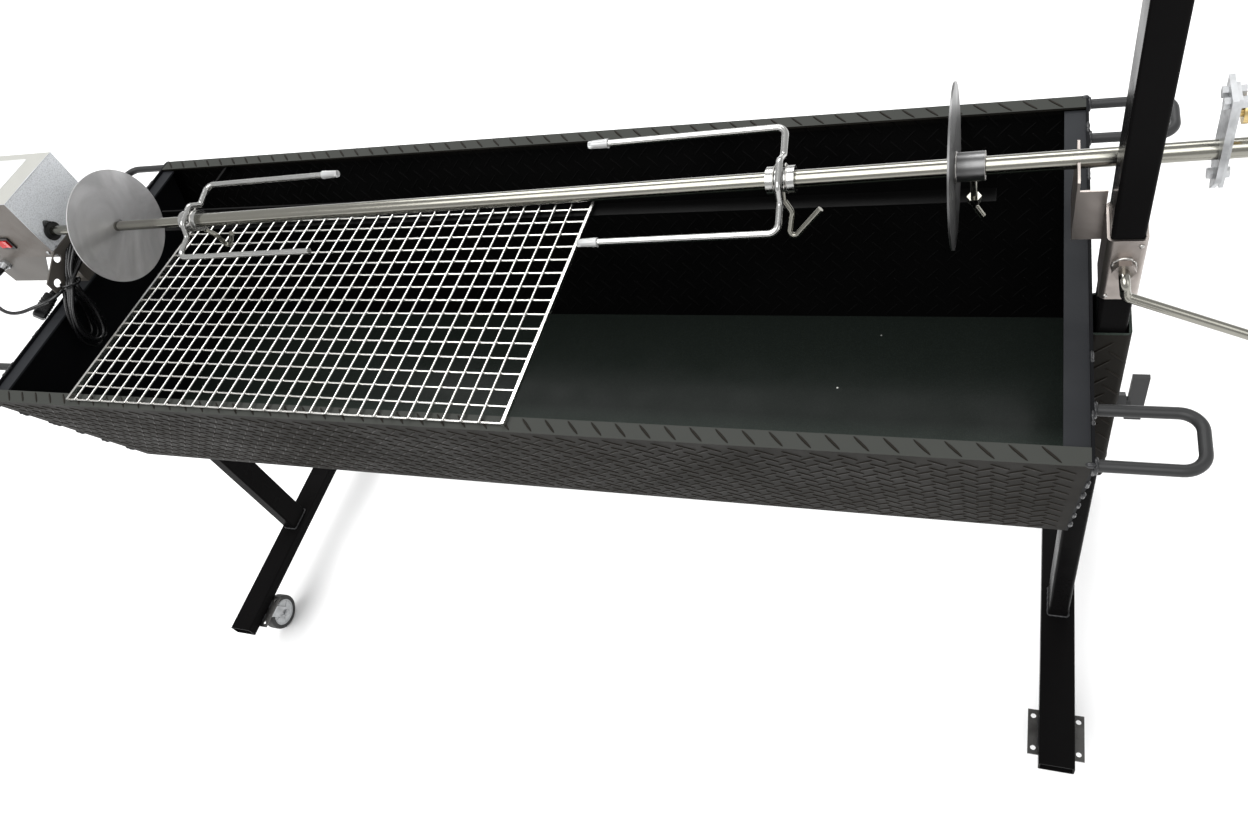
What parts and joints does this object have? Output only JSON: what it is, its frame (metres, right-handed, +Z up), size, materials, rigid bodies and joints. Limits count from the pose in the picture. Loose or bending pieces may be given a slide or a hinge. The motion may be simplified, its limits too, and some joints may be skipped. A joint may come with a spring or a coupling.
{
  "type": "charcoal spit roaster",
  "caption": "Long tread-plate charcoal trough on wheeled foot bars, with a motor-driven spit, meat forks, guard discs and a sliding wire grill.",
  "frame": {"origin": "floor level under the centre of the trough", "axes": "+X along the trough away from the motor, +Y to the back, +Z up"},
  "size_m": [1.83, 0.656, 1.292],
  "materials": {
    "tread_plate": "satin black over tread plate",
    "trough_paint": "satin charcoal",
    "strip_paint": "satin grey-black, catching light",
    "handle_paint": "satin black",
    "frame_paint": "semi-gloss black",
    "zinc": "zinc plated, slightly dull",
    "stainless": "brushed stainless",
    "hammertone": "silver hammertone",
    "cast_case": "die cast",
    "steel": "turned steel",
    "bush_plastic": "dark",
    "black_plastic": "matte",
    "red_plastic": "gloss red",
    "cord_rubber": "black flexible PVC",
    "clear_plastic": "milky",
    "brass": "turned brass",
    "wire": "bright plated wire",
    "hub_plastic": "light grey",
    "tyre": "dark rubber"
  },
  "bodies": {
    "trough": {"trough_pan": "tread_plate", "end_wall_left": "trough_paint", "end_wall_right": "trough_paint", "end_strips": "strip_paint", "grill_rail": "trough_paint", "rail_arms": "trough_paint", "lift_handles": "handle_paint", "post_socket_left": "tread_plate", "post_socket_right": "tread_plate", "leg_left": "frame_paint", "leg_right": "frame_paint", "foot_bar_left": "frame_paint", "foot_bar_right": "frame_paint", "socket_nuts": "handle_paint", "caster_plates": "zinc", "spit_post": "frame_paint", "motor_housing": "hammertone", "motor_bracket": "zinc", "gear_motor": "cast_case", "switch_bezel": "black_plastic", "cable_gland": "zinc", "cord_lead": "cord_rubber", "cord_hank": "cord_rubber", "cord_tail": "cord_rubber", "plug": "cord_rubber"},
    "socket_clamp_left": {"t_screw_left": "handle_paint"},
    "socket_clamp_right": {"t_screw_right": "handle_paint"},
    "sleeve": {"post_sleeve": "stainless"},
    "sleeve_clamp": {"sleeve_screw": "stainless"},
    "switch": {"switch_rocker": "red_plastic"},
    "drive": {"drive_socket": "steel"},
    "bush": {"spit_bush": "bush_plastic"},
    "spit": {"spit_rod": "stainless"},
    "guard_left": {"disc_left": "stainless"},
    "guard_right": {"disc_right": "stainless"},
    "guard_lock_left": {"disc_screw_left": "stainless"},
    "guard_lock_right": {"disc_screw_right": "stainless"},
    "meat_fork_left": {"fork_left": "stainless", "fork_tips_left": "clear_plastic"},
    "meat_fork_right": {"fork_right": "stainless", "fork_tips_right": "clear_plastic"},
    "fork_lock_left": {"fork_lever_left": "stainless"},
    "fork_lock_right": {"fork_lever_right": "stainless"},
    "counterbalance": {"weight_plate": "zinc", "weight_strap": "zinc", "weight_bolts": "zinc", "weight_knob": "brass"},
    "grill": {"mesh_grill": "wire"},
    "swivel_front_left": {"caster_fork_front_left": "zinc"},
    "wheel_front_left": {"caster_wheel_front_left": "hub_plastic", "caster_tyre_front_left": "tyre"},
    "swivel_back_left": {"caster_fork_back_left": "zinc"},
    "wheel_back_left": {"caster_wheel_back_left": "hub_plastic", "caster_tyre_back_left": "tyre"},
    "swivel_front_right": {"caster_fork_front_right": "zinc"},
    "wheel_front_right": {"caster_wheel_front_right": "hub_plastic", "caster_tyre_front_right": "tyre"},
    "swivel_back_right": {"caster_fork_back_right": "zinc"},
    "wheel_back_right": {"caster_wheel_back_right": "hub_plastic", "caster_tyre_back_right": "tyre"}
  },
  "joints": [
    {"name": "socket_clamp_left_turn", "type": "hinge", "parent": "trough", "child": "socket_clamp_left", "pos_m": [-0.81, -0.06, 0.68], "axis": [-1, 0, 0], "continuous": true},
    {"name": "socket_clamp_right_turn", "type": "hinge", "parent": "trough", "child": "socket_clamp_right", "pos_m": [0.81, -0.06, 0.68], "axis": [1, 0, 0], "continuous": true},
    {"name": "sleeve_height", "type": "slide", "parent": "trough", "child": "sleeve", "axis": [0, 0, 1], "range_m": [-0.042, 0.04]},
    {"name": "sleeve_clamp_turn", "type": "hinge", "parent": "sleeve", "child": "sleeve_clamp", "pos_m": [0.785, -0.09, 0.934], "axis": [0, -1, 0], "range_deg": [-25, 150]},
    {"name": "switch_rock", "type": "hinge", "parent": "trough", "child": "switch", "pos_m": [-0.83, -0.0282, 0.953], "axis": [0, 0, 1], "range_deg": [-8, 8]},
    {"name": "spit_tilt", "type": "hinge", "parent": "trough", "child": "bush", "pos_m": [-0.745, 0, 0.95186], "axis": [0, -1, 0], "range_deg": [-1.6, 1.5]},
    {"name": "spit_spin", "type": "hinge", "parent": "bush", "child": "spit", "pos_m": [-0.745, 0, 0.95186], "axis": [0.9996, 0, 0.0284], "continuous": true},
    {"name": "drive_spin", "type": "hinge", "parent": "trough", "child": "drive", "pos_m": [-0.8, 0, 0.95186], "axis": [1, 0, 0], "continuous": true},
    {"name": "guard_left_slide", "type": "slide", "parent": "spit", "child": "guard_left", "axis": [0.9996, 0, 0.0284], "range_m": [-0.05, 0.06]},
    {"name": "guard_lock_left_turn", "type": "hinge", "parent": "guard_left", "child": "guard_lock_left", "pos_m": [-0.6144, 0, 0.95557], "axis": [0.0284, 0, -0.9996], "continuous": true},
    {"name": "guard_right_slide", "type": "slide", "parent": "spit", "child": "guard_right", "axis": [0.9996, 0, 0.0284], "range_m": [-0.08, 0.05]},
    {"name": "guard_lock_right_turn", "type": "hinge", "parent": "guard_right", "child": "guard_lock_right", "pos_m": [0.6434, 0, 0.99125], "axis": [0.0284, 0, -0.9996], "continuous": true},
    {"name": "fork_left_slide", "type": "slide", "parent": "spit", "child": "meat_fork_left", "axis": [0.9996, 0, 0.0284], "range_m": [-0.05, 0.15]},
    {"name": "fork_lock_left_turn", "type": "hinge", "parent": "meat_fork_left", "child": "fork_lock_left", "pos_m": [-0.438, 0, 0.96057], "axis": [0.0276, 0.225, -0.974], "continuous": true},
    {"name": "fork_right_slide", "type": "slide", "parent": "spit", "child": "meat_fork_right", "axis": [0.9996, 0, 0.0284], "range_m": [-0.15, 0.04]},
    {"name": "fork_lock_right_turn", "type": "hinge", "parent": "meat_fork_right", "child": "fork_lock_right", "pos_m": [0.444, 0, 0.9856], "axis": [0.0263, -0.3746, -0.9268], "range_deg": [-190, 30]},
    {"name": "counterbalance_turn", "type": "hinge", "parent": "spit", "child": "counterbalance", "pos_m": [0.858, 0, 0.99734], "axis": [0.9996, 0, 0.0284], "continuous": true},
    {"name": "grill_slide", "type": "slide", "parent": "trough", "child": "grill", "axis": [1, 0, 0], "range_m": [0, 0.5]},
    {"name": "swivel_front_left_turn", "type": "hinge", "parent": "trough", "child": "swivel_front_left", "pos_m": [-0.785, -0.272, 0.09], "axis": [0, 0, 1], "continuous": true},
    {"name": "wheel_front_left_spin", "type": "hinge", "parent": "swivel_front_left", "child": "wheel_front_left", "pos_m": [-0.785, -0.247, 0.0375], "axis": [1, 0, 0], "continuous": true},
    {"name": "swivel_back_left_turn", "type": "hinge", "parent": "trough", "child": "swivel_back_left", "pos_m": [-0.785, 0.272, 0.09], "axis": [0, 0, 1], "continuous": true},
    {"name": "wheel_back_left_spin", "type": "hinge", "parent": "swivel_back_left", "child": "wheel_back_left", "pos_m": [-0.785, 0.247, 0.0375], "axis": [1, 0, 0], "continuous": true},
    {"name": "swivel_front_right_turn", "type": "hinge", "parent": "trough", "child": "swivel_front_right", "pos_m": [0.785, -0.272, 0.09], "axis": [0, 0, 1], "continuous": true},
    {"name": "wheel_front_right_spin", "type": "hinge", "parent": "swivel_front_right", "child": "wheel_front_right", "pos_m": [0.785, -0.247, 0.0375], "axis": [1, 0, 0], "continuous": true},
    {"name": "swivel_back_right_turn", "type": "hinge", "parent": "trough", "child": "swivel_back_right", "pos_m": [0.785, 0.272, 0.09], "axis": [0, 0, 1], "continuous": true},
    {"name": "wheel_back_right_spin", "type": "hinge", "parent": "swivel_back_right", "child": "wheel_back_right", "pos_m": [0.785, 0.247, 0.0375], "axis": [1, 0, 0], "continuous": true}
  ],
  "couplings": [
    {"joint": "drive_spin", "follows": "spit_spin", "ratio": 1},
    {"joint": "sleeve_height", "follows": "spit_tilt", "m_per_rad": 1.486}
  ]
}
